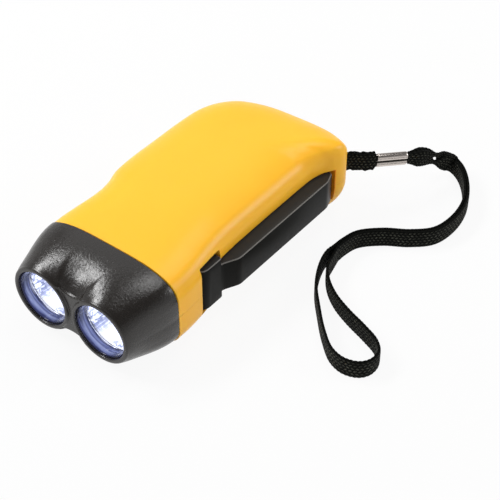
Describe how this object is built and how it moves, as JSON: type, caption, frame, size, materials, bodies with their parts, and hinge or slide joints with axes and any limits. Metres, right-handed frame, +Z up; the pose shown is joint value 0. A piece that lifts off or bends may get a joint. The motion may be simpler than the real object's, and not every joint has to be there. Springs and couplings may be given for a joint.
{
  "type": "hand press dynamo torch",
  "caption": "Hand-press dynamo torch: a squeeze lever on the side turns a small generator through gears and lights the lamps in the black head; a woven wrist strap leaves the tail",
  "frame": {"origin": "middle of the torch's own footprint, without its strap, at the flat underside that it lies on", "axes": "+Z up, +Y from the lamps to the tail, +X towards the squeeze lever"},
  "size_m": [0.0985, 0.1362, 0.03],
  "materials": {
    "case_yellow": "satin, moulded",
    "head_black": "fine spark-eroded grain, semi-matte",
    "lever_black": "satin, moulded",
    "lens_clear": "clear, polished",
    "reflector_silver": "vacuum metallised",
    "led_body": "clear epoxy, lit",
    "board_green": "solder mask",
    "steel": "turned or drawn",
    "gear_ivory": "acetal, moulded",
    "flywheel_brass": "turned",
    "magnet_ferrite": "sintered, ground",
    "core_laminate": "stamped laminations",
    "bobbin_black": "moulded",
    "copper_wire": "enamelled wire",
    "cell_can": "plated can",
    "switch_black": "satin, moulded",
    "strap_black": "woven tape",
    "crimp_metal": "nickel plated sleeve"
  },
  "bodies": {
    "housing": {"upper_case": "case_yellow", "lower_case": "case_yellow", "lamp_head": "head_black", "lens_left": "lens_clear", "lens_right": "lens_clear", "reflector_left": "reflector_silver", "reflector_right": "reflector_silver", "led_left": "led_body", "led_right": "led_body", "lamp_board": "board_green", "lever_pin": "steel", "return_spring": "steel", "gear_1_axle": "steel", "gear_2_axle": "steel", "stator_core": "core_laminate", "coil_bobbin": "bobbin_black", "coil_winding": "copper_wire", "gear_plate": "gear_ivory", "plate_screw_1": "steel", "plate_screw_2": "steel", "plate_screw_3": "steel", "plate_screw_4": "steel", "case_screw_1": "steel", "case_screw_2": "steel", "case_screw_3": "steel", "case_screw_4": "steel", "case_screw_5": "steel", "battery_cell_1": "cell_can", "battery_cell_2": "cell_can", "battery_cell_3": "cell_can", "slide_switch": "steel", "charge_board": "board_green", "strap_pin": "steel", "strap_root": "strap_black", "strap_crimp": "crimp_metal", "strap_stem": "strap_black", "strap_loop": "strap_black"},
    "lever": {"squeeze_lever": "lever_black", "drive_sector": "gear_ivory"},
    "gear_1": {"gear_1": "gear_ivory"},
    "gear_2": {"gear_2": "gear_ivory"},
    "rotor": {"rotor_pinion": "gear_ivory", "rotor_shaft": "steel", "flywheel": "flywheel_brass", "rotor_magnet": "magnet_ferrite"},
    "switch_slider": {"switch_slider": "switch_black"},
    "lock_slider": {"lock_slider": "switch_black"}
  },
  "joints": [
    {"name": "lever_hinge", "type": "hinge", "parent": "housing", "child": "lever", "pos_m": [0.01984, -0.01865, 0.014], "axis": [0, 0, -1], "range_deg": [0, 25.1]},
    {"name": "gear_1_turn", "type": "hinge", "parent": "housing", "child": "gear_1", "pos_m": [0.00439, 0.0047, 0.014], "axis": [0, 0, 1], "range_deg": [0, 150.6]},
    {"name": "gear_2_turn", "type": "hinge", "parent": "housing", "child": "gear_2", "pos_m": [-0.00481, 0.01241, 0.014], "axis": [0, 0, -1], "range_deg": [0, 451.8]},
    {"name": "rotor_turn", "type": "hinge", "parent": "housing", "child": "rotor", "pos_m": [-0.00355, 0.02435, 0.014], "axis": [0, 0, 1], "range_deg": [0, 1350]},
    {"name": "switch_slide", "type": "slide", "parent": "housing", "child": "switch_slider", "axis": [0, 1, 0], "range_m": [0, 0.003]},
    {"name": "catch_slide", "type": "slide", "parent": "housing", "child": "lock_slider", "axis": [-1, 0, 0], "range_m": [0, 0.003]}
  ],
  "couplings": [
    {"joint": "lever_hinge", "follows": "rotor_turn", "ratio": 0.018519},
    {"joint": "gear_1_turn", "follows": "rotor_turn", "ratio": 0.11111},
    {"joint": "gear_2_turn", "follows": "rotor_turn", "ratio": 0.33333}
  ]
}
